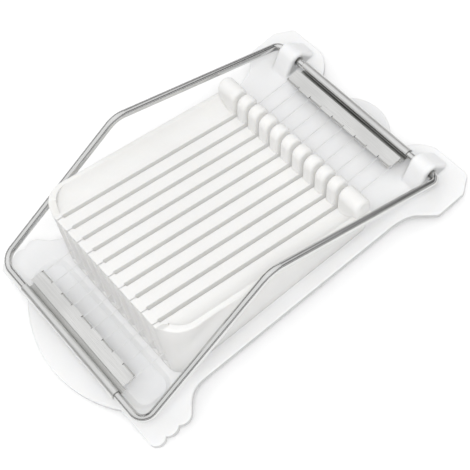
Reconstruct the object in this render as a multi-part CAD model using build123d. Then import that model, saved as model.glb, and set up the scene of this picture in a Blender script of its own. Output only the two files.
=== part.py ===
"""Wire slicer for eggs and luncheon meat: a moulded base and cradle with a hinged wire bail.

Frame: X to the object's right, Y from the front (handle bar) to the rear (hinge), Z up, millimetres.
Origin: centre of the bounding box in plan, on the surface that the base stands on.
The bail is modelled closed, with its wires down in the slots of the cradle.
"""
import os
from math import asin, atan2, cos, hypot, radians, sin, sqrt, tan

from build123d import *

# ---------------------------------------------------------------- driving dimensions (mm)
# Slots and wires
SLOT_COUNT = 10
SLOT_PITCH = 8.0
SLOT_WIDTH = 2.0
LIP_SLOT_WIDTH = 0.56
SLOTS_FRONT_Y = -75.0
SLOTS_REAR_Y = 70.0
WIRE_DIAMETER = 0.36
LOOP_COUNT = SLOT_COUNT // 2
WIRE_STOP_GAP = 0.3

# Base plate
DECK_TOP = 10.0
DECK_THICKNESS = 2.6
FRONT_EDGE_Y = -87.4
FRONT_TAB_HALF_WIDTH = 37.8
FRONT_TAB_REACH = 11.8
PAW_HALF_WIDTH = 62.9
PAW_TOE_LENGTH = 7.3
PAW_NOTCH_DEPTH = 1.4
PAW_CORNER_SETBACK = 3.4
WAIST_FRONT = (52.4, -52.0)
WAIST_REAR = (55.9, 52.0)
EAR_ROOT = (60.8, 69.4)
EAR_HALF_WIDTH = 67.0
EAR_FRONT_Y = 75.6
EAR_SIDE_REAR_Y = 90.8
EAR_BACK_X = 61.0
EAR_REAR_Y = 99.2
EAR_INNER_X = 41.0
EAR_INNER_BEND = (33.6, 95.4)
DECK_REAR_Y = 86.0
DECK_REAR_HALF_WIDTH = 27.5
OUTLINE_CORNER_RADIUS = 3.0
TOP_EDGE_ROUNDING = 0.7
REAR_TAB_RADIUS = 22.4
REAR_TAB_CENTRE_Y = 76.4
REAR_TAB_THICKNESS = 2.4
SKIRT_THICKNESS = 2.2
SKIRT_HALF_WIDTH = 47.0
SKIRT_FRONT_Y = -80.0
SKIRT_REAR_Y = 83.0
SKIRT_CORNER_RADIUS = 12.0
FOOT_RADIUS = 5.0
FOOT_CHAMFER = 0.6
FOOT_PLACES = ((55.0, -76.0), (58.0, 86.0))
UNDER_RIB_THICKNESS = 1.6
UNDER_RIB_HEIGHT = 4.2
UNDER_RIB_XS = (-22.0, 22.0)
UNDER_RIB_YS = (-56.0, -4.0, 50.0)

# Recess in the deck below the front clip
RECESS_DEPTH = 1.5
RECESS_SLOPE_WIDTH = 2.3
RECESS_HALF_WIDTH = 46.6
RECESS_REAR_Y = -62.0
RECESS_FRONT_Y = -82.0
RECESS_CORNER_RADIUS = 7.5

# Cradle: its floor slopes down from front to rear
FLOOR_FRONT_Y = -52.0
FLOOR_FRONT_Z = 46.3
FLOOR_SLOPE = 14.9
FLOOR_LENGTH = 97.8
RIM_HEIGHT = 4.6
RIM_HALF_WIDTH = 50.4
RIM_LAND = 2.6
RIM_ROUNDING = 0.9
LIP_THICKNESS = 4.0
LIP_CUT_HALF_WIDTH = 38.2
LIP_CUT_SLOPE = 5.0
WALL_TAPER = 8.4
CRADLE_CORNER_RADIUS = 13.0
TROUGH_FLAT_HALF_WIDTH = 39.0
FINGER_THICKNESS = 9.0
FINGER_HEIGHT = 12.7
FINGER_ROUNDING = 1.7
FINGER_SIDE_INSET = 0.8
RIB_CORE_WIDTH = 3.0
RIB_ROOF = 2.2
RIB_CORE_REAR_Y = 26.0
FLUTE_DEPTH = 1.5
FLUTE_WIDTH = 5.6
FLUTE_FOOT = 1.2
LIP_BAND = 5.4

# Screws that hold the cradle to the deck
SCREW_DIAMETER = 3.0
SCREW_DEPTH = 8.0
SCREW_HEAD_DIAMETER = 6.0
SCREW_HEAD_HEIGHT = 2.0
SCREW_HEAD_ROUNDING = 0.8
SCREW_CROSS_LENGTH = 3.2
SCREW_CROSS_WIDTH = 0.7
SCREW_CROSS_DEPTH = 0.5
SCREW_HOLE_CLEARANCE = 0.2
SCREW_X = 41.0
SCREW_YS = (-40.0, 32.0)

# Bail rod
ROD_DIAMETER = 3.8
ARM_X = 56.0
AXLE_Y = 86.2
AXLE_Z = 14.8
SHOULDER_Y = -4.6
SHOULDER_Z = 52.6
BAR_Y = -84.6
BAR_Z = 20.9
HANDLE_BEND_RADIUS = 7.5
SHOULDER_BEND_RADIUS = 12.0
AXLE_BEND_RADIUS = 4.0

# Hinge bosses
BOSS_INNER_X = 41.0
BOSS_OUTER_X = 52.0
BOSS_RADIUS = 4.9
BOSS_RAMP = 5.2
BOSS_ROUNDING = 1.9
BOSS_FOOT_ROUNDING = 1.6
BORE_CLEARANCE = 0.08
COUNTERSINK = 0.8

# Wire clips
CLIP_LENGTH = 73.0
CLIP_SHEET = 0.6
CLIP_WRAP_GAP = 0.05
CLIP_WRAP_START = 48.0
CLIP_WRAP_END = 292.0
CLIP_WRAP_DROP = 0.35
CLIP_LEAF_RISE = 1.8
CLIP_NEAR_EDGE = 4.6
CLIP_REACH = 11.4
TAB_WIDTH = 7.6
TAB_RELIEF = 0.3
TAB_CURL_RADIUS = 0.9
TAB_RETURN = 1.6
WIRE_BEND_RADIUS = 0.6
WIRE_SEAT_GAP = 0.04

# ---------------------------------------------------------------- worked-out values
DECK_BOTTOM = DECK_TOP - DECK_THICKNESS
BURY = 1.0
CLEAR_OF_ALL = 300.0
ROD_RADIUS = ROD_DIAMETER / 2
WIRE_RADIUS = WIRE_DIAMETER / 2
SLOT_XS = [(index - (SLOT_COUNT - 1) / 2) * SLOT_PITCH for index in range(SLOT_COUNT)]
TAB_XS = [(index - (LOOP_COUNT - 1) / 2) * 2 * SLOT_PITCH for index in range(LOOP_COUNT)]
FLOOR_PLANE = Plane(
    origin=(0, FLOOR_FRONT_Y, FLOOR_FRONT_Z),
    x_dir=(1, 0, 0),
    z_dir=(0, sin(radians(FLOOR_SLOPE)), cos(radians(FLOOR_SLOPE))),
)
CURL_INNER_RADIUS = TAB_CURL_RADIUS - CLIP_SHEET / 2
CURL_CENTRE_REACH = CLIP_REACH - TAB_CURL_RADIUS - CLIP_SHEET / 2
WIRE_REACH = CURL_CENTRE_REACH + CURL_INNER_RADIUS - WIRE_RADIUS - WIRE_SEAT_GAP
WIRE_RISE = CLIP_LEAF_RISE - TAB_CURL_RADIUS
WIRE_FRONT = Vector(0, BAR_Y + WIRE_REACH, BAR_Z + WIRE_RISE)
WIRE_REAR = Vector(0, AXLE_Y - WIRE_REACH, AXLE_Z + WIRE_RISE)


def both_sides(shape):
    """Return the shape and its mirror image across the object's centre plane."""
    return shape + mirror(shape, about=Plane.YZ)


def wire_height(y):
    """Height of the closed wires' centre line at a place along the object."""
    share = (y - WIRE_FRONT.Y) / (WIRE_REAR.Y - WIRE_FRONT.Y)
    return WIRE_FRONT.Z + share * (WIRE_REAR.Z - WIRE_FRONT.Z)


def rounded_path(points, radii):
    """Straight runs through the points, with a tangent arc of the given radius at each inner one."""
    edges = []
    start = Vector(*points[0])
    for corner, after, radius in zip(points[1:-1], points[2:], radii):
        corner = Vector(*corner)
        into = (corner - start).normalized()
        out = (Vector(*after) - corner).normalized()
        half_turn = radians(into.get_angle(out)) / 2
        setback = radius * tan(half_turn)
        arc_start = corner - into * setback
        arc_end = corner + out * setback
        bisector = (out - into).normalized()
        arc_middle = corner + bisector * (radius / cos(half_turn) - radius)
        edges.append(Line(start, arc_start))
        edges.append(ThreePointArc(arc_start, arc_middle, arc_end))
        start = arc_end
    edges.append(Line(start, Vector(*points[-1])))
    return Wire(edges)


def half_loop_rod(points, radii, diameter):
    """Round rod swept along one half of a loop that starts and ends square to its mirror plane."""
    path = rounded_path(points, radii)
    profile = Plane(origin=points[0], z_dir=path % 0) * Circle(diameter / 2)
    return sweep(profile, path)


# ---------------------------------------------------------------- base plate
def paw_edge():
    """Outer edge of one front foot: three rounded toes, from the front corner to the rear."""
    edges = []
    start = (PAW_HALF_WIDTH - PAW_CORNER_SETBACK, FRONT_EDGE_Y)
    for toe in range(3):
        middle = (PAW_HALF_WIDTH, FRONT_EDGE_Y + (toe + 0.5) * PAW_TOE_LENGTH)
        notch = (PAW_HALF_WIDTH - PAW_NOTCH_DEPTH, FRONT_EDGE_Y + (toe + 1) * PAW_TOE_LENGTH)
        edges.append(ThreePointArc(start, middle, notch))
        start = notch
    return edges, start


def deck_half_face():
    """Right half of the deck's outline, from the front tab round to the rear edge."""
    tab_front = FRONT_EDGE_Y - FRONT_TAB_REACH
    tab_radius = (FRONT_TAB_HALF_WIDTH ** 2 + FRONT_TAB_REACH ** 2) / (2 * FRONT_TAB_REACH)
    turn = asin(FRONT_TAB_HALF_WIDTH / tab_radius) / 2
    tab_middle = (tab_radius * sin(turn), tab_front + tab_radius * (1 - cos(turn)))
    toes, paw_rear = paw_edge()
    tab_corner = (FRONT_TAB_HALF_WIDTH, FRONT_EDGE_Y)
    ear_inner = (EAR_INNER_X, EAR_REAR_Y)
    deck_rear = (DECK_REAR_HALF_WIDTH, DECK_REAR_Y)
    edges = [
        ThreePointArc((0, tab_front), tab_middle, tab_corner),
        Line(tab_corner, (PAW_HALF_WIDTH - PAW_CORNER_SETBACK, FRONT_EDGE_Y)),
        *toes,
        Spline(paw_rear, WAIST_FRONT, tangents=((-1.2, 1.0), (0, 1.6))),
        Line(WAIST_FRONT, WAIST_REAR),
        Spline(WAIST_REAR, EAR_ROOT, tangents=((0, 1.4), (1.0, 0.8))),
        Line(EAR_ROOT, (EAR_HALF_WIDTH, EAR_FRONT_Y)),
        Line((EAR_HALF_WIDTH, EAR_FRONT_Y), (EAR_HALF_WIDTH, EAR_SIDE_REAR_Y)),
        Line((EAR_HALF_WIDTH, EAR_SIDE_REAR_Y), (EAR_BACK_X, EAR_REAR_Y)),
        Line((EAR_BACK_X, EAR_REAR_Y), ear_inner),
        ThreePointArc(ear_inner, EAR_INNER_BEND, deck_rear),
        Line(deck_rear, (0, DECK_REAR_Y)),
        Line((0, DECK_REAR_Y), (0, tab_front)),
    ]
    return make_face(edges)


def hinge_boss():
    """Solid hump on the right ear that carries the axle, before it is bored."""
    half_foot = BOSS_RADIUS + BOSS_RAMP
    rise = AXLE_Z - DECK_TOP
    reach = hypot(half_foot, rise)
    ramp_length = sqrt(reach ** 2 - BOSS_RADIUS ** 2)
    lean = atan2(rise, half_foot) + asin(BOSS_RADIUS / reach)
    tangent_y = half_foot - ramp_length * cos(lean)
    tangent_z = DECK_TOP + ramp_length * sin(lean)
    buried_z = DECK_TOP - BURY
    crown = AXLE_Z + BOSS_RADIUS
    outline = [
        Line((AXLE_Y - half_foot, DECK_TOP), (AXLE_Y - tangent_y, tangent_z)),
        ThreePointArc((AXLE_Y - tangent_y, tangent_z), (AXLE_Y, crown), (AXLE_Y + tangent_y, tangent_z)),
        Line((AXLE_Y + tangent_y, tangent_z), (AXLE_Y + half_foot, DECK_TOP)),
        Line((AXLE_Y + half_foot, DECK_TOP), (AXLE_Y + half_foot, buried_z)),
        Line((AXLE_Y + half_foot, buried_z), (AXLE_Y - half_foot, buried_z)),
        Line((AXLE_Y - half_foot, buried_z), (AXLE_Y - half_foot, DECK_TOP)),
    ]
    section = Plane(origin=(BOSS_INNER_X, 0, 0), x_dir=(0, 1, 0), z_dir=(1, 0, 0)) * make_face(outline)
    boss = extrude(section, amount=BOSS_OUTER_X - BOSS_INNER_X)
    upper_edges = boss.edges().filter_by(lambda edge: edge.center().Z > DECK_TOP + 0.1)
    end_edges = upper_edges.filter_by(lambda edge: abs(edge.tangent_at(0.5).X) < 0.5)
    return fillet(end_edges, BOSS_ROUNDING)


def axle_bore():
    """Bore of the right boss with a countersink at each end, as a solid to cut away."""
    radius = ROD_RADIUS + BORE_CLEARANCE
    length = BOSS_OUTER_X - BOSS_INNER_X
    middle = (BOSS_INNER_X + BOSS_OUTER_X) / 2
    along_x = Plane(origin=(middle, AXLE_Y, AXLE_Z), z_dir=(1, 0, 0))
    cutter = along_x * Cylinder(radius, length + 2 * BURY)
    for side in (-1, 1):
        mouth = Plane(origin=(middle + side * length / 2, AXLE_Y, AXLE_Z), z_dir=(side, 0, 0))
        cone = Cone(radius, radius + 2 * COUNTERSINK, 2 * COUNTERSINK)
        cutter += mouth * cone
    return cutter


def under_ribs():
    """Stiffening ribs below the deck, inside the skirt, short of the surface that it stands on."""
    bottom = DECK_BOTTOM - UNDER_RIB_HEIGHT
    height = UNDER_RIB_HEIGHT + BURY
    centre_y = (SKIRT_FRONT_Y + SKIRT_REAR_Y) / 2
    length = SKIRT_REAR_Y - SKIRT_FRONT_Y - SKIRT_THICKNESS
    width = 2 * SKIRT_HALF_WIDTH - SKIRT_THICKNESS
    standing = (Align.CENTER, Align.CENTER, Align.MIN)
    long_rib = Box(UNDER_RIB_THICKNESS, length, height, align=standing)
    cross_rib = Box(width, UNDER_RIB_THICKNESS, height, align=standing)
    ribs = [Pos(x, centre_y, bottom) * long_rib for x in UNDER_RIB_XS]
    ribs += [Pos(0, y, bottom) * cross_rib for y in UNDER_RIB_YS]
    return Part() + ribs


def make_base_plate():
    """One moulding: deck, skirt, feet, hinge bosses, thumb tabs and the recess under the front clip."""
    half_deck = Pos(0, 0, DECK_BOTTOM) * extrude(deck_half_face(), amount=DECK_THICKNESS)
    deck = both_sides(half_deck)
    ear_corners = deck.edges().filter_by(Axis.Z).filter_by(
        lambda edge: abs(edge.center().X) > EAR_INNER_X - BURY and edge.center().Y > EAR_ROOT[1] - BURY
    )
    deck = fillet(ear_corners, OUTLINE_CORNER_RADIUS)
    top_edges = deck.faces().sort_by(Axis.Z)[-1].outer_wire().edges()
    deck = fillet(top_edges, TOP_EDGE_ROUNDING)

    skirt_centre_y = (SKIRT_FRONT_Y + SKIRT_REAR_Y) / 2
    skirt_length = SKIRT_REAR_Y - SKIRT_FRONT_Y
    outer = RectangleRounded(2 * SKIRT_HALF_WIDTH, skirt_length, SKIRT_CORNER_RADIUS)
    inner = RectangleRounded(
        2 * (SKIRT_HALF_WIDTH - SKIRT_THICKNESS),
        skirt_length - 2 * SKIRT_THICKNESS,
        SKIRT_CORNER_RADIUS - SKIRT_THICKNESS,
    )
    skirt = Pos(0, skirt_centre_y, 0) * extrude(outer - inner, amount=DECK_BOTTOM + BURY)
    base = deck + skirt + under_ribs()

    rear_tab = Pos(0, REAR_TAB_CENTRE_Y, 0) * Cylinder(
        REAR_TAB_RADIUS, REAR_TAB_THICKNESS, align=(Align.CENTER, Align.CENTER, Align.MIN)
    )
    keep_behind = Pos(0, SKIRT_REAR_Y - SKIRT_THICKNESS / 2, 0) * Box(
        2 * REAR_TAB_RADIUS, REAR_TAB_RADIUS, DECK_TOP, align=(Align.CENTER, Align.MIN, Align.MIN)
    )
    rear_tab = rear_tab & keep_behind
    tab_edge = rear_tab.faces().sort_by(Axis.Z)[-1].edges().filter_by(GeomType.CIRCLE)
    rear_tab = fillet(tab_edge, TOP_EDGE_ROUNDING)
    base += rear_tab

    foot = Cylinder(FOOT_RADIUS, DECK_BOTTOM + BURY, align=(Align.CENTER, Align.CENTER, Align.MIN))
    foot = chamfer(foot.edges().sort_by(Axis.Z)[0], FOOT_CHAMFER)
    for foot_x, foot_y in FOOT_PLACES:
        base += both_sides(Pos(foot_x, foot_y, 0) * foot)

    base += both_sides(hinge_boss())
    boss_feet = base.edges().filter_by(
        lambda edge: abs(edge.center().Z - DECK_TOP) < 0.01
        and BOSS_INNER_X - BURY < abs(edge.center().X) < BOSS_OUTER_X + BURY
        and abs(edge.center().Y - AXLE_Y) < BOSS_RADIUS + BOSS_RAMP + BURY
    )
    base = fillet(boss_feet, BOSS_FOOT_ROUNDING)
    base -= both_sides(axle_bore())

    recess_centre_y = (RECESS_FRONT_Y + RECESS_REAR_Y) / 2
    recess_length = RECESS_REAR_Y - RECESS_FRONT_Y
    mouth = RectangleRounded(2 * RECESS_HALF_WIDTH, recess_length, RECESS_CORNER_RADIUS)
    floor = RectangleRounded(
        2 * (RECESS_HALF_WIDTH - RECESS_SLOPE_WIDTH),
        recess_length - 2 * RECESS_SLOPE_WIDTH,
        RECESS_CORNER_RADIUS - RECESS_SLOPE_WIDTH,
    )
    base -= loft([
        Pos(0, recess_centre_y, DECK_TOP - RECESS_DEPTH) * floor,
        Pos(0, recess_centre_y, DECK_TOP) * mouth,
    ])

    for y in SCREW_YS:
        hole = Pos(SCREW_X, y, DECK_BOTTOM) * Cylinder(
            SCREW_DIAMETER / 2 + SCREW_HOLE_CLEARANCE, 4 * DECK_THICKNESS
        )
        base -= both_sides(hole)
    return base


# ---------------------------------------------------------------- cradle
def cradle_body():
    """Outer body of the cradle: its rim outline drawn down to the deck with tapered walls."""
    length = FLOOR_LENGTH + FINGER_THICKNESS + LIP_THICKNESS
    rim_plane = FLOOR_PLANE.offset(RIM_HEIGHT)
    outline = Rectangle(2 * RIM_HALF_WIDTH, length, align=(Align.CENTER, Align.MIN))
    outline = Pos(0, -LIP_THICKNESS) * outline
    front_corners = outline.vertices().sort_by(Axis.Y)[:2]
    outline = fillet(front_corners, CRADLE_CORNER_RADIUS)
    body = extrude(rim_plane * outline, amount=-(FLOOR_FRONT_Z + RIM_HEIGHT), taper=WALL_TAPER)
    top_edges = body.edges().filter_by(
        lambda edge: abs(rim_plane.to_local_coords(edge.center()).Z) < 0.05
        and rim_plane.to_local_coords(edge.center()).Y < FLOOR_LENGTH
    )
    body = fillet(top_edges, RIM_ROUNDING)
    above_deck = Pos(0, 0, DECK_TOP) * Box(
        CLEAR_OF_ALL, CLEAR_OF_ALL, CLEAR_OF_ALL, align=(Align.CENTER, Align.CENTER, Align.MIN)
    )
    return body & above_deck


def trough():
    """Space above the ribs: a shallow channel with curved sides and rounded front corners."""
    half_mouth = RIM_HALF_WIDTH - RIM_LAND
    run = half_mouth - TROUGH_FLAT_HALF_WIDTH
    side_radius = (run ** 2 + RIM_HEIGHT ** 2) / (2 * RIM_HEIGHT)
    turn = asin(run / side_radius) / 2
    bend_x = TROUGH_FLAT_HALF_WIDTH + side_radius * sin(turn)
    bend_z = side_radius * (1 - cos(turn))
    high = RIM_HEIGHT + FINGER_HEIGHT
    section = make_face([
        Line((-TROUGH_FLAT_HALF_WIDTH, 0), (TROUGH_FLAT_HALF_WIDTH, 0)),
        ThreePointArc((TROUGH_FLAT_HALF_WIDTH, 0), (bend_x, bend_z), (half_mouth, RIM_HEIGHT)),
        Line((half_mouth, RIM_HEIGHT), (half_mouth, high)),
        Line((half_mouth, high), (-half_mouth, high)),
        Line((-half_mouth, high), (-half_mouth, RIM_HEIGHT)),
        ThreePointArc((-half_mouth, RIM_HEIGHT), (-bend_x, bend_z), (-TROUGH_FLAT_HALF_WIDTH, 0)),
    ])
    length = FLOOR_LENGTH + FINGER_THICKNESS + BURY
    channel = extrude(Plane.XZ * section, amount=-length)
    plan = Rectangle(2 * half_mouth, length, align=(Align.CENTER, Align.MIN))
    plan = fillet(plan.vertices().sort_by(Axis.Y)[:2], CRADLE_CORNER_RADIUS - RIM_LAND)
    return FLOOR_PLANE * (channel & extrude(plan, amount=high))


def lip_cut():
    """Low middle of the front lip, level with the ribs, with sloping ends up to the rim."""
    high = RIM_HEIGHT + BURY
    wide = LIP_CUT_HALF_WIDTH + LIP_CUT_SLOPE * high / RIM_HEIGHT
    section = make_face(Polyline(
        (-LIP_CUT_HALF_WIDTH, 0),
        (LIP_CUT_HALF_WIDTH, 0),
        (wide, high),
        (-wide, high),
        close=True,
    ))
    cut = extrude(Plane.XZ * section, amount=LIP_THICKNESS + BURY)
    return FLOOR_PLANE * (cut + Pos(0, BURY, 0) * cut)


def finger(low_x, high_x):
    """One round-topped finger behind the floor, in the floor's own frame, with softened sides."""
    radius = FINGER_THICKNESS / 2
    straight = FINGER_HEIGHT - radius
    near = FLOOR_LENGTH
    far = near + FINGER_THICKNESS
    section = make_face([
        Line((near, -BURY), (near, straight)),
        ThreePointArc((near, straight), (near + radius, FINGER_HEIGHT), (far, straight)),
        Line((far, straight), (far, -BURY)),
        Line((far, -BURY), (near, -BURY)),
    ])
    side_plane = Plane(origin=(low_x, 0, 0), x_dir=(0, 1, 0), z_dir=(1, 0, 0))
    body = extrude(side_plane * section, amount=high_x - low_x)
    side_edges = body.faces().filter_by(Axis.X).edges().filter_by(lambda edge: edge.center().Z > 0)
    return fillet(side_edges, FINGER_ROUNDING)


def finger_row():
    """Row of fingers, one behind each rib and a wide one at each side."""
    half_gap = SLOT_WIDTH / 2
    outer_side = RIM_HALF_WIDTH - FINGER_SIDE_INSET
    walls = [-outer_side, *SLOT_XS, outer_side]
    row = None
    for index, (low, high) in enumerate(zip(walls[:-1], walls[1:])):
        low_x = low if index == 0 else low + half_gap
        high_x = high if index == SLOT_COUNT else high - half_gap
        one = finger(low_x, high_x)
        row = one if row is None else row + one
    return FLOOR_PLANE * row


def slot_cutter(x, width, front_y, rear_y):
    """Upright cut for one wire, with its floor just under the closed wire."""
    gap = WIRE_RADIUS + WIRE_STOP_GAP
    top = FLOOR_FRONT_Z + CLEAR_OF_ALL
    section = make_face(Polyline(
        (front_y, wire_height(front_y) - gap),
        (rear_y, wire_height(rear_y) - gap),
        (rear_y, top),
        (front_y, top),
        close=True,
    ))
    side_plane = Plane(origin=(x - width / 2, 0, 0), x_dir=(0, 1, 0), z_dir=(1, 0, 0))
    return extrude(side_plane * section, amount=width)


def rib_core(x):
    """Hollow inside one rib, open below, with a roof under the floor."""
    slope = tan(radians(FLOOR_SLOPE))
    roof_drop = RIB_ROOF / cos(radians(FLOOR_SLOPE))
    front = FLOOR_FRONT_Y + BURY
    rear = RIB_CORE_REAR_Y
    front_z = FLOOR_FRONT_Z - slope * (front - FLOOR_FRONT_Y) - roof_drop
    rear_z = FLOOR_FRONT_Z - slope * (rear - FLOOR_FRONT_Y) - roof_drop
    section = make_face(Polyline(
        (front, DECK_TOP - BURY),
        (rear, DECK_TOP - BURY),
        (rear, rear_z),
        (front, front_z),
        close=True,
    ))
    side_plane = Plane(origin=(x - RIB_CORE_WIDTH / 2, 0, 0), x_dir=(0, 1, 0), z_dir=(1, 0, 0))
    return extrude(side_plane * section, amount=RIB_CORE_WIDTH)


def flute(x):
    """Shallow round groove down the outer face of the front wall, from below the lip to the deck."""
    lean = radians(FLOOR_SLOPE - WALL_TAPER)
    rim_front = FLOOR_PLANE.from_local_coords(Vector(0, -LIP_THICKNESS, RIM_HEIGHT))
    radius = (FLUTE_WIDTH ** 2 / 4 + FLUTE_DEPTH ** 2) / (2 * FLUTE_DEPTH)
    up_the_wall = Vector(0, sin(lean), cos(lean))
    out_of_wall = Vector(0, -cos(lean), sin(lean))
    length = (rim_front.Z - LIP_BAND - DECK_TOP - FLUTE_FOOT) / cos(lean)
    top = Vector(x, rim_front.Y, rim_front.Z) - up_the_wall * LIP_BAND
    centre = top - up_the_wall * (length / 2) + out_of_wall * (radius - FLUTE_DEPTH)
    return Plane(origin=centre, z_dir=up_the_wall) * Cylinder(radius, length)


def make_cradle():
    """Second moulding: sloping ribbed floor with rim, slotted front wall and rear fingers."""
    cradle = cradle_body() - trough() - lip_cut()
    cradle += finger_row()
    for x in SLOT_XS:
        cradle -= slot_cutter(x, SLOT_WIDTH, FLOOR_FRONT_Y, SLOTS_REAR_Y)
        cradle -= slot_cutter(x, LIP_SLOT_WIDTH, SLOTS_FRONT_Y, FLOOR_FRONT_Y + BURY)
        cradle -= flute(x)
    for x in SLOT_XS[:-1]:
        cradle -= rib_core(x + SLOT_PITCH / 2)
    for y in SCREW_YS:
        pilot = Pos(SCREW_X, y, DECK_TOP) * Cylinder(
            SCREW_DIAMETER / 2, SCREW_DEPTH, align=(Align.CENTER, Align.CENTER, Align.MIN)
        )
        cradle -= both_sides(pilot)
    return cradle


def make_screws():
    """Four pan-head screws from below the deck into the cradle."""
    shank = Cylinder(
        SCREW_DIAMETER / 2, SCREW_DEPTH + DECK_THICKNESS, align=(Align.CENTER, Align.CENTER, Align.MIN)
    )
    head = Cylinder(
        SCREW_HEAD_DIAMETER / 2, SCREW_HEAD_HEIGHT, align=(Align.CENTER, Align.CENTER, Align.MAX)
    )
    head = fillet(head.edges().sort_by(Axis.Z)[0], SCREW_HEAD_ROUNDING)
    cross = Box(SCREW_CROSS_LENGTH, SCREW_CROSS_WIDTH, 2 * SCREW_CROSS_DEPTH)
    cross += Box(SCREW_CROSS_WIDTH, SCREW_CROSS_LENGTH, 2 * SCREW_CROSS_DEPTH)
    screw = shank + head - Pos(0, 0, -SCREW_HEAD_HEIGHT) * cross
    places = [(side * SCREW_X, y) for side in (-1, 1) for y in SCREW_YS]
    return Compound(children=[Pos(x, y, DECK_BOTTOM) * screw for x, y in places])


# ---------------------------------------------------------------- bail, clips and wires
def make_bail():
    """Closed loop of steel rod: handle bar, two bent arms and the rear bar that is the axle."""
    half = half_loop_rod(
        [
            (0, AXLE_Y, AXLE_Z),
            (ARM_X, AXLE_Y, AXLE_Z),
            (ARM_X, SHOULDER_Y, SHOULDER_Z),
            (ARM_X, BAR_Y, BAR_Z),
            (0, BAR_Y, BAR_Z),
        ],
        [AXLE_BEND_RADIUS, SHOULDER_BEND_RADIUS, HANDLE_BEND_RADIUS],
        ROD_DIAMETER,
    )
    return both_sides(half)


def make_clip(rod_y, rod_z, toward):
    """Folded sheet clip on one bar. toward is +1 when its leaf points to the rear, -1 to the front."""
    wrap = ROD_RADIUS + CLIP_WRAP_GAP + CLIP_SHEET / 2
    start = radians(CLIP_WRAP_START)
    end = radians(CLIP_WRAP_END)
    middle = (start + end) / 2
    leave = Vector(wrap * cos(end), wrap * sin(end))
    low_corner = Vector(CLIP_NEAR_EDGE, leave.Y + CLIP_WRAP_DROP)
    leaf_corner = Vector(CLIP_NEAR_EDGE, CLIP_LEAF_RISE)
    leaf_end = Vector(CURL_CENTRE_REACH, CLIP_LEAF_RISE)
    wrap_line = ThreePointArc(
        (wrap * cos(start), wrap * sin(start)), (wrap * cos(middle), wrap * sin(middle)), leave
    )
    body_line = Polyline(leave, low_corner, leaf_corner, leaf_end)
    body_section = trace([wrap_line, *body_line.edges()], CLIP_SHEET)
    curl_low = CLIP_LEAF_RISE - 2 * TAB_CURL_RADIUS
    curl_line = ThreePointArc(
        leaf_end,
        (CURL_CENTRE_REACH + TAB_CURL_RADIUS, CLIP_LEAF_RISE - TAB_CURL_RADIUS),
        (CURL_CENTRE_REACH, curl_low),
    )
    return_line = Line((CURL_CENTRE_REACH, curl_low), (CURL_CENTRE_REACH - TAB_RETURN, curl_low))
    tab_section = trace([curl_line, return_line], CLIP_SHEET)
    side_plane = Plane(origin=(0, rod_y, rod_z), x_dir=(0, toward, 0), z_dir=(toward, 0, 0))
    clip = extrude(side_plane * body_section, amount=CLIP_LENGTH / 2, both=True)
    edge_width = CLIP_REACH - CURL_CENTRE_REACH + BURY
    edge_section = Pos(CLIP_REACH - edge_width / 2, CLIP_LEAF_RISE) * Rectangle(edge_width, CLIP_SHEET)
    edge = extrude(side_plane * edge_section, amount=CLIP_LENGTH / 2, both=True)
    for x in TAB_XS:
        edge -= Pos(x, 0, 0) * Box(TAB_WIDTH + 2 * TAB_RELIEF, CLEAR_OF_ALL, CLEAR_OF_ALL)
    clip += edge
    for x in TAB_XS:
        tab_plane = Plane(origin=(x, rod_y, rod_z), x_dir=(0, toward, 0), z_dir=(toward, 0, 0))
        clip += extrude(tab_plane * tab_section, amount=TAB_WIDTH / 2, both=True)
    return clip


def make_wire_loop(centre_x):
    """One closed loop of cutting wire, hooked round a front tab and a rear tab."""
    side = SLOT_PITCH / 2
    half = half_loop_rod(
        [
            (0, WIRE_REAR.Y, WIRE_REAR.Z),
            (side, WIRE_REAR.Y, WIRE_REAR.Z),
            (side, WIRE_FRONT.Y, WIRE_FRONT.Z),
            (0, WIRE_FRONT.Y, WIRE_FRONT.Z),
        ],
        [WIRE_BEND_RADIUS, WIRE_BEND_RADIUS],
        WIRE_DIAMETER,
    )
    return Pos(centre_x, 0, 0) * both_sides(half)


# ---------------------------------------------------------------- write every node
nodes = {
    "base_plate": make_base_plate(),
    "cradle": make_cradle(),
    "cradle_screws": make_screws(),
    "bail_rod": make_bail(),
    "front_clip": make_clip(BAR_Y, BAR_Z, 1),
    "rear_clip": make_clip(AXLE_Y, AXLE_Z, -1),
}
for number, tab_x in enumerate(TAB_XS, start=1):
    nodes[f"wire_loop_{number}"] = make_wire_loop(tab_x)

os.makedirs("parts", exist_ok=True)
for name, shape in nodes.items():
    export_step(shape, f"parts/{name}.step")
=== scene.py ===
"""Looks of the wire slicer: studio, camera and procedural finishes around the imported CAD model.

Everything is in metres in the CAD frame: X to the object's right, Y from the handle bar to the hinge, Z up.
Texture coordinates are object coordinates, which are the same frame, so a noise scale is waves per metre.
"""
from math import radians

import bmesh
import bpy
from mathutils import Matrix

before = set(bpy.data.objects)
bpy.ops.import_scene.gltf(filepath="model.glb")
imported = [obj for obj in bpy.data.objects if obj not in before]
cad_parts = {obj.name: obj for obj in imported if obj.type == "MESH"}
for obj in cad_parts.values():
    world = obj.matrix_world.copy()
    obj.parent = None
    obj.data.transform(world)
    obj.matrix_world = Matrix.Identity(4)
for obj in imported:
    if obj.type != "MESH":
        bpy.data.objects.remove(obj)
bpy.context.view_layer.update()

# ---------------------------------------------------------------- camera constants
CAMERA_PLACE = (0.2936, -0.09002, 0.5134)
CAMERA_TURN = (28.5796, 12.2498, 50.5676)
CAMERA_LENS = 97.42
SENSOR_WIDTH = 36.0

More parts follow.
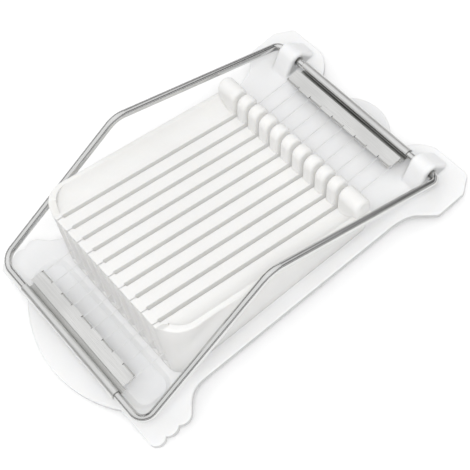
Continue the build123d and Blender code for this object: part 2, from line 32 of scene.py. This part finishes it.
# ---------------------------------------------------------------- colours (linear)
BASE_WHITE = (0.825, 0.827, 0.83)
CRADLE_WHITE = (0.822, 0.818, 0.806)
ROD_STEEL = (0.72, 0.72, 0.715)
CLIP_STEEL = (0.74, 0.74, 0.73)
WIRE_STEEL = (0.88, 0.88, 0.88)
SCREW_ZINC = (0.58, 0.59, 0.60)
FLOOR_WHITE = (0.92, 0.92, 0.92)
SHEARED_EDGE = (0.86, 0.86, 0.85)
SCUFFED_EDGE = (0.80, 0.80, 0.80)
CLOUD_SHADE = 0.975
SIDE_SHADE = 0.62

# ---------------------------------------------------------------- subsurface light inside the plastics, and the reach of the painted glow in slots
SEEP_RADIUS = (1.0, 0.95, 0.85)
SEEP_SCALE = 0.0025
SEEP_WEIGHT = 0.35
PAINTED_GLOW_REACH = 0.012

# ---------------------------------------------------------------- edge roundings
BASE_EDGE = 0.0005
CRADLE_EDGE = 0.0007
METAL_EDGE = 0.00015

# ---------------------------------------------------------------- textures: waves per metre
MOULD_CLOUDS = 38
MOULD_FLECKS = 900
MOULD_GRAIN = 2600
MOULD_SINKS = 110
GLOSS_CLOUDS = 70
ROD_LINES = 2400
ROD_SMEARS = 90
ROD_PITS = 700
SHEET_GRAIN = 3200
SHEET_MARKS = 110
WIRE_LINES = 5200
WIRE_STAINS = 240
ZINC_SPANGLE = 1400
ZINC_HAZE = 500
ZINC_GRAIN = 3000
FLOOR_CLOUDS = 3
FLOOR_GLOSS_CLOUDS = 9

# ---------------------------------------------------------------- textures: how far lines are drawn out
ROD_DRAW = 60
SHEET_DRAW = 45
MARK_DRAW = 2.5
WIRE_DRAW = 40

# ---------------------------------------------------------------- textures: height of the relief
MOULD_GRAIN_RELIEF = 0.000012
MOULD_SINK_RELIEF = 0.00012
ROD_LINE_RELIEF = 0.000006
ROD_PIT_RELIEF = 0.00001
SHEET_RELIEF = 0.000005
WIRE_RELIEF = 0.000004
ZINC_RELIEF = 0.00001

# ---------------------------------------------------------------- studio constants
FLOOR_RADIUS = 5.0
FLOOR_SIDES = 96
FLOOR_GLOW = 0.08
WORLD_STRENGTH = 0.86
LIGHT_STOPS = ((0.0, 0.25), (0.35, 0.7), (0.8, 1.15))
MIRROR_STOPS = (
    (0.0, 0.03), (0.12, 0.05), (0.2, 0.8), (0.32, 0.9),
    (0.39, 0.10), (0.52, 0.12), (0.6, 0.9), (1.0, 1.1),
)
KEY_PLACE = (0.55, -0.15, 1.05)
KEY_SIZE = 0.5
KEY_ENERGY = 5.0
FILL_PLACE = (-0.5, -0.7, 0.7)
FILL_SIZE = 0.9
FILL_ENERGY = 1.2

# ---------------------------------------------------------------- the bail rod's run, for its drawing lines
ARM_INNER_X = 0.0525
ARM_BEND_Y = -0.0046
FRONT_ARM_SLOPE = 21.6
REAR_ARM_SLOPE = -22.6


class Finish:
    """A node material being built, with short calls for the nodes that the finishes share."""

    def __init__(self, name):
        self.material = bpy.data.materials.new(name)
        self.material.use_nodes = True
        self.tree = self.material.node_tree
        self.shader = self.tree.nodes["Principled BSDF"]
        self.place = self.add("ShaderNodeTexCoord").outputs["Object"]

    def add(self, kind, settings=None, values=None):
        """Adds a node, sets its properties, and gives each named input a value or a link."""
        node = self.tree.nodes.new(kind)
        for name, value in (settings or {}).items():
            setattr(node, name, value)
        for name, value in (values or {}).items():
            self.feed(node.inputs[name], value)
        return node

    def feed(self, socket, value):
        """Links an output to the socket, or sets its constant value."""
        if isinstance(value, bpy.types.NodeSocket):
            self.tree.links.new(value, socket)
        else:
            socket.default_value = value

    def noise(self, scale, detail=2.0, where=None, roughness=0.5):
        """Noise from 0 to 1 with so many waves per metre."""
        node = self.add(
            "ShaderNodeTexNoise",
            values={
                "Vector": where or self.place,
                "Scale": scale,
                "Detail": detail,
                "Roughness": roughness,
            },
        )
        return node.outputs["Fac"]

    def maths(self, operation, first, second=0.0):
        """One sum on two values."""
        node = self.add("ShaderNodeMath", {"operation": operation})
        self.feed(node.inputs[0], first)
        self.feed(node.inputs[1], second)
        return node.outputs[0]

    def spread(self, value, low, high, start=0.3, end=0.7):
        """Maps start..end of a value to low..high, and clamps it."""
        node = self.add(
            "ShaderNodeMapRange",
            values={
                "Value": value,
                "From Min": start,
                "From Max": end,
                "To Min": low,
                "To Max": high,
            },
        )
        return node.outputs["Result"]

    def mix(self, share, first, second):
        """Mixes two colours."""
        node = self.add("ShaderNodeMix", {"data_type": "RGBA"}, {"Factor": share})
        self.feed(node.inputs[6], first)
        self.feed(node.inputs[7], second)
        return node.outputs[2]

    def stretched(self, along, turn=(0.0, 0.0, 0.0)):
        """The place, turned by degrees and shrunk along one axis, so that noise draws out into lines."""
        node = self.add("ShaderNodeMapping", {"vector_type": "TEXTURE"}, {"Vector": self.place})
        node.inputs["Rotation"].default_value = [radians(angle) for angle in turn]
        node.inputs["Scale"].default_value = along
        return node.outputs["Vector"]

    def soft_edges(self, radius):
        """Normal with the edges rounded to a radius, as moulding or tumbling leaves them."""
        return self.add("ShaderNodeBevel", {"samples": 4}, {"Radius": radius}).outputs["Normal"]

    def edge_mask(self, rounded):
        """From 0 on flat surfaces to about 1 on the rounded edges."""
        dot = self.add("ShaderNodeVectorMath", {"operation": "DOT_PRODUCT"})
        self.feed(dot.inputs[0], rounded)
        self.feed(dot.inputs[1], self.normal_of_surface())
        return self.spread(dot.outputs["Value"], 1.0, 0.0, 0.75, 0.995)

    def painted_crevice_shade(self, tone, reach, depth):
        """Darkens a colour in the crevices to a share of itself: painted shade where gaps fall dark."""
        share = self.spread(self.openness(reach), 1.0, 0.0, 0.25, 0.85)
        dark = self.add("ShaderNodeMix", {"data_type": "RGBA", "blend_type": "MULTIPLY"}, {"Factor": 1.0})
        self.feed(dark.inputs[6], tone)
        dark.inputs[7].default_value = (depth, depth, depth * 0.95, 1.0)
        return self.mix(share, tone, dark.outputs[2])

    def normal_of_surface(self):
        """The mesh's own normal."""
        return self.add("ShaderNodeNewGeometry").outputs["Normal"]

    def openness(self, reach):
        """From 0 deep in a gap to 1 in the open, judged within a distance."""
        return self.add("ShaderNodeAmbientOcclusion", {"samples": 6}, {"Distance": reach}).outputs["AO"]

    def bump(self, height, distance, normal=None):
        """Normal tilted by a height from 0 to 1, which stands for a distance, on top of another normal."""
        node = self.add("ShaderNodeBump", values={"Height": height, "Distance": distance})
        if normal is not None:
            self.feed(node.inputs["Normal"], normal)
        return node.outputs["Normal"]

    def finish(self, **values):
        """Feeds the shader's inputs, named with _ for a space."""
        for name, value in values.items():
            self.feed(self.shader.inputs[name.replace("_", " ")], value)
        return self.material


def rgba(colour, factor=1.0):
    """Four-part colour, scaled and kept under 1."""
    return tuple(min(1.0, part * factor) for part in colour) + (1.0,)


def moulded_plastic(name, colour, gloss, edge_radius, painted_slot_glow, side_share):
    """Satin injection-moulded plastic: faint clouding, fine mould grain, sink marks and polished edges,
    lightened as a painted highlight.

    painted_slot_glow is the strength of a painted glow (emission) deep in narrow slots, standing in for light
    that comes through the thin walls. side_share is how far the upright faces are greyed with painted shade,
    so that the outline reads against a white floor.
    """
    made = Finish(name)
    rounded = made.soft_edges(edge_radius)
    edges = made.edge_mask(rounded)
    clouds = made.noise(MOULD_CLOUDS, 3)
    flecks = made.noise(MOULD_FLECKS, 2)
    tone = made.mix(made.spread(clouds, 0.0, 1.0), rgba(colour, CLOUD_SHADE), rgba(colour))
    tone = made.mix(made.spread(flecks, 0.0, 0.25, 0.45, 0.8), tone, rgba(colour, 1.04))
    # rounded edges lifted 8% lighter in colour: a painted highlight
    tone = made.mix(made.maths("MULTIPLY", edges, 0.3), tone, rgba(colour, 1.08))
    # upright faces greyed towards SIDE_SHADE: painted shade, so that the outline reads against the white
    # floor
    facing = made.add("ShaderNodeSeparateXYZ", values={"Vector": made.normal_of_surface()})
    level = made.maths("ABSOLUTE", facing.outputs["Z"])
    tone = made.mix(made.spread(level, side_share, 0.0, 0.1, 0.6), tone, rgba(colour, SIDE_SHADE))
    rough = made.spread(made.noise(GLOSS_CLOUDS, 3), gloss - 0.05, gloss + 0.07)
    rough = made.maths("ADD", rough, made.spread(flecks, 0.0, 0.05))
    rough = made.maths("SUBTRACT", rough, made.maths("MULTIPLY", edges, 0.08))
    grain = made.bump(made.noise(MOULD_GRAIN, 2), MOULD_GRAIN_RELIEF, rounded)
    sinks = made.bump(made.noise(MOULD_SINKS, 1), MOULD_SINK_RELIEF, grain)
    return made.finish(
        Base_Color=tone,
        Roughness=rough,
        Normal=sinks,
        IOR=1.5,
        Specular_IOR_Level=0.42,
        Subsurface_Weight=SEEP_WEIGHT,
        Subsurface_Radius=SEEP_RADIUS,
        Subsurface_Scale=SEEP_SCALE,
        # the emission is a painted glow in narrow slots, standing in for light through the thin walls; the
        # subsurface above is real scattering
        Emission_Color=rgba(colour),
        Emission_Strength=made.spread(made.openness(PAINTED_GLOW_REACH), painted_slot_glow, 0.0, 0.05, 0.45),
    )


def polished_rod(name, colour):
    """Bright drawn steel rod: drawing lines along each run, light scuffs and tiny pits."""
    made = Finish(name)
    side = made.add("ShaderNodeSeparateXYZ", values={"Vector": made.place})
    on_arm = made.maths("GREATER_THAN", made.maths("ABSOLUTE", side.outputs["X"]), ARM_INNER_X)
    behind = made.maths("GREATER_THAN", side.outputs["Y"], ARM_BEND_Y)
    along_front_arm = made.stretched((1, ROD_DRAW, 1), (FRONT_ARM_SLOPE, 0, 0))
    along_rear_arm = made.stretched((1, ROD_DRAW, 1), (REAR_ARM_SLOPE, 0, 0))
    along_bar = made.stretched((ROD_DRAW, 1, 1))
    front_lines = made.noise(ROD_LINES, 3, along_front_arm, 0.6)
    rear_lines = made.noise(ROD_LINES, 3, along_rear_arm, 0.6)
    bar_lines = made.noise(ROD_LINES, 3, along_bar, 0.6)
    arms = made.add("ShaderNodeMix", values={"Factor": behind})
    made.feed(arms.inputs[2], front_lines)
    made.feed(arms.inputs[3], rear_lines)
    runs = made.add("ShaderNodeMix", values={"Factor": on_arm})
    made.feed(runs.inputs[2], bar_lines)
    made.feed(runs.inputs[3], arms.outputs[0])
    lines = runs.outputs[0]
    smears = made.noise(ROD_SMEARS, 4)
    tone = made.mix(made.spread(lines, 0.0, 1.0), rgba(colour, 0.9), rgba(colour))
    rough = made.maths("ADD", made.spread(smears, 0.05, 0.13), made.spread(lines, 0.0, 0.07))
    # darker in the crevices: painted shade
    tone = made.painted_crevice_shade(tone, 0.0015, 0.35)
    normal = made.bump(lines, ROD_LINE_RELIEF)
    normal = made.bump(made.noise(ROD_PITS, 2), ROD_PIT_RELIEF, normal)
    return made.finish(Base_Color=tone, Metallic=1.0, Roughness=rough, Normal=normal)


def rolled_sheet(name, colour):
    """Cold-rolled stainless sheet: grain along its length, darker handling marks and bright sheared edges."""
    made = Finish(name)
    rounded = made.soft_edges(METAL_EDGE)
    edges = made.edge_mask(rounded)
    grain = made.noise(SHEET_GRAIN, 4, made.stretched((SHEET_DRAW, 1, 1)), 0.65)
    marks = made.noise(SHEET_MARKS, 4, made.stretched((MARK_DRAW, 1, 1)))
    tone = made.mix(made.spread(grain, 0.0, 1.0), rgba(colour, 0.86), rgba(colour, 1.08))
    tone = made.mix(made.spread(marks, 0.0, 0.35, 0.45, 0.75), tone, rgba(colour, 0.8))
    tone = made.mix(made.maths("MULTIPLY", edges, 0.6), tone, rgba(SHEARED_EDGE))
    rough = made.maths("ADD", made.spread(grain, 0.24, 0.36), made.spread(marks, 0.0, 0.08))
    # darker in the crevices: painted shade
    tone = made.painted_crevice_shade(tone, 0.0025, 0.45)
    normal = made.bump(grain, SHEET_RELIEF, rounded)
    return made.finish(Base_Color=tone, Metallic=1.0, Roughness=rough, Normal=normal, Anisotropic=0.4)


def drawn_wire(name, colour):
    """Fine stainless wire, dulled a little by food acids and washing."""
    made = Finish(name)
    lines = made.noise(WIRE_LINES, 2, made.stretched((1, WIRE_DRAW, 1)))
    stain = made.noise(WIRE_STAINS, 3)
    tone = made.mix(made.spread(stain, 0.0, 1.0), rgba(colour, 0.82), rgba(colour))
    rough = made.maths("ADD", made.spread(lines, 0.42, 0.55), made.spread(stain, 0.0, 0.06))
    return made.finish(
        Base_Color=tone,
        Metallic=0.45,
        Roughness=rough,
        Normal=made.bump(lines, WIRE_RELIEF),
    )


def zinc_plate(name, colour):
    """Zinc-plated screw: spangled plating, scuffed bright on its edges."""
    made = Finish(name)
    rounded = made.soft_edges(METAL_EDGE)
    edges = made.edge_mask(rounded)
    spangle = made.add("ShaderNodeTexVoronoi", values={"Vector": made.place, "Scale": ZINC_SPANGLE})
    haze = made.noise(ZINC_HAZE, 3)
    tone = made.mix(0.12, rgba(colour), spangle.outputs["Color"])
    tone = made.mix(made.spread(haze, 0.0, 0.4), tone, rgba(colour, 0.78))
    tone = made.mix(made.maths("MULTIPLY", edges, 0.5), tone, rgba(SCUFFED_EDGE))
    return made.finish(
        Base_Color=tone,
        Metallic=1.0,
        Roughness=made.spread(haze, 0.26, 0.42),
        Normal=made.bump(made.noise(ZINC_GRAIN, 2), ZINC_RELIEF, rounded),
    )


def studio_floor(name, colour):
    """Matt pale floor with a trace of unevenness in its tone."""
    made = Finish(name)
    tone = made.mix(made.noise(FLOOR_CLOUDS, 3), rgba(colour, 0.985), rgba(colour))
    return made.finish(
        Base_Color=tone,
        Roughness=made.spread(made.noise(FLOOR_GLOSS_CLOUDS, 2), 0.75, 0.85),
        Specular_IOR_Level=0.15,
        Emission_Color=rgba((1, 1, 1)),
        Emission_Strength=FLOOR_GLOW,
    )


clip_finish = rolled_sheet("clip_steel", CLIP_STEEL)
wire_finish = drawn_wire("wire_steel", WIRE_STEEL)
FINISHES = {
    "base_plate": moulded_plastic("base_plastic", BASE_WHITE, 0.36, BASE_EDGE, 0.0, 0.9),
    "cradle": moulded_plastic("cradle_plastic", CRADLE_WHITE, 0.34, CRADLE_EDGE, 0.11, 0.12),
    "cradle_screws": zinc_plate("screw_zinc", SCREW_ZINC),
    "bail_rod": polished_rod("rod_steel", ROD_STEEL),
    "front_clip": clip_finish,
    "rear_clip": clip_finish,
}
for node_name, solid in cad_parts.items():
    solid.data.materials.clear()
    solid.data.materials.append(FINISHES.get(node_name, wire_finish))

# ---------------------------------------------------------------- floor
floor_mesh = bpy.data.meshes.new("floor")
disc = bmesh.new()
bmesh.ops.create_circle(disc, cap_ends=True, radius=FLOOR_RADIUS, segments=FLOOR_SIDES)
disc.to_mesh(floor_mesh)
disc.free()
floor_mesh.materials.append(studio_floor("floor_white", FLOOR_WHITE))
floor = bpy.data.objects.new("floor", floor_mesh)
bpy.context.scene.collection.objects.link(floor)


# ---------------------------------------------------------------- light
def softbox(name, place, size, energy):
    """Square area light pointed at the object, left out of reflections."""
    light = bpy.data.lights.new(name, "AREA")
    light.size = size
    light.energy = energy
    holder = bpy.data.objects.new(name, light)
    holder.location = place
    holder.rotation_euler = holder.location.to_track_quat("Z", "Y").to_euler()
    holder.visible_glossy = False
    bpy.context.scene.collection.objects.link(holder)


softbox("key_light", KEY_PLACE, KEY_SIZE, KEY_ENERGY)
softbox("fill_light", FILL_PLACE, FILL_SIZE, FILL_ENERGY)


def sky(tree, stops):
    """Background whose grey follows the height of the direction, from 0 at the horizon to 1 overhead."""
    background = tree.nodes.new("ShaderNodeBackground")
    ramp = tree.nodes.new("ShaderNodeValToRGB")
    direction = tree.nodes.new("ShaderNodeTexCoord")
    parts = tree.nodes.new("ShaderNodeSeparateXYZ")
    tree.links.new(direction.outputs["Generated"], parts.inputs["Vector"])
    tree.links.new(parts.outputs["Z"], ramp.inputs["Fac"])
    tree.links.new(ramp.outputs["Color"], background.inputs["Color"])
    elements = ramp.color_ramp.elements
    elements.remove(elements[1])
    for index, (height, grey) in enumerate(stops):
        stop = elements[0] if index == 0 else elements.new(height)
        stop.position = height
        stop.color = (grey, grey, grey, 1.0)
    return background


def by_ray(tree, kind, others, chosen):
    """Shader that gives rays of one kind a background of their own."""
    rays = tree.nodes.new("ShaderNodeLightPath")
    mixed = tree.nodes.new("ShaderNodeMixShader")
    tree.links.new(rays.outputs[kind], mixed.inputs["Fac"])
    tree.links.new(others.outputs[0], mixed.inputs[1])
    tree.links.new(chosen.outputs[0], mixed.inputs[2])
    return mixed


world = bpy.data.worlds.new("studio")
bpy.context.scene.world = world
world.use_nodes = True
tree = world.node_tree
backdrop = tree.nodes["Background"]
backdrop.inputs["Color"].default_value = (1.0, 1.0, 1.0, 1.0)
lighting = sky(tree, LIGHT_STOPS)
lighting.inputs["Strength"].default_value = WORLD_STRENGTH
studio = by_ray(tree, "Is Glossy Ray", lighting, sky(tree, MIRROR_STOPS))
studio = by_ray(tree, "Is Camera Ray", studio, backdrop)
tree.links.new(studio.outputs[0], tree.nodes["World Output"].inputs["Surface"])

# ---------------------------------------------------------------- camera
camera = bpy.data.objects.new("camera", bpy.data.cameras.new("camera"))
camera.data.sensor_width = SENSOR_WIDTH
camera.data.lens = CAMERA_LENS
camera.location = CAMERA_PLACE
camera.rotation_euler = [radians(angle) for angle in CAMERA_TURN]
bpy.context.scene.collection.objects.link(camera)
bpy.context.scene.camera = camera
bpy.context.scene.view_settings.view_transform = "Standard"
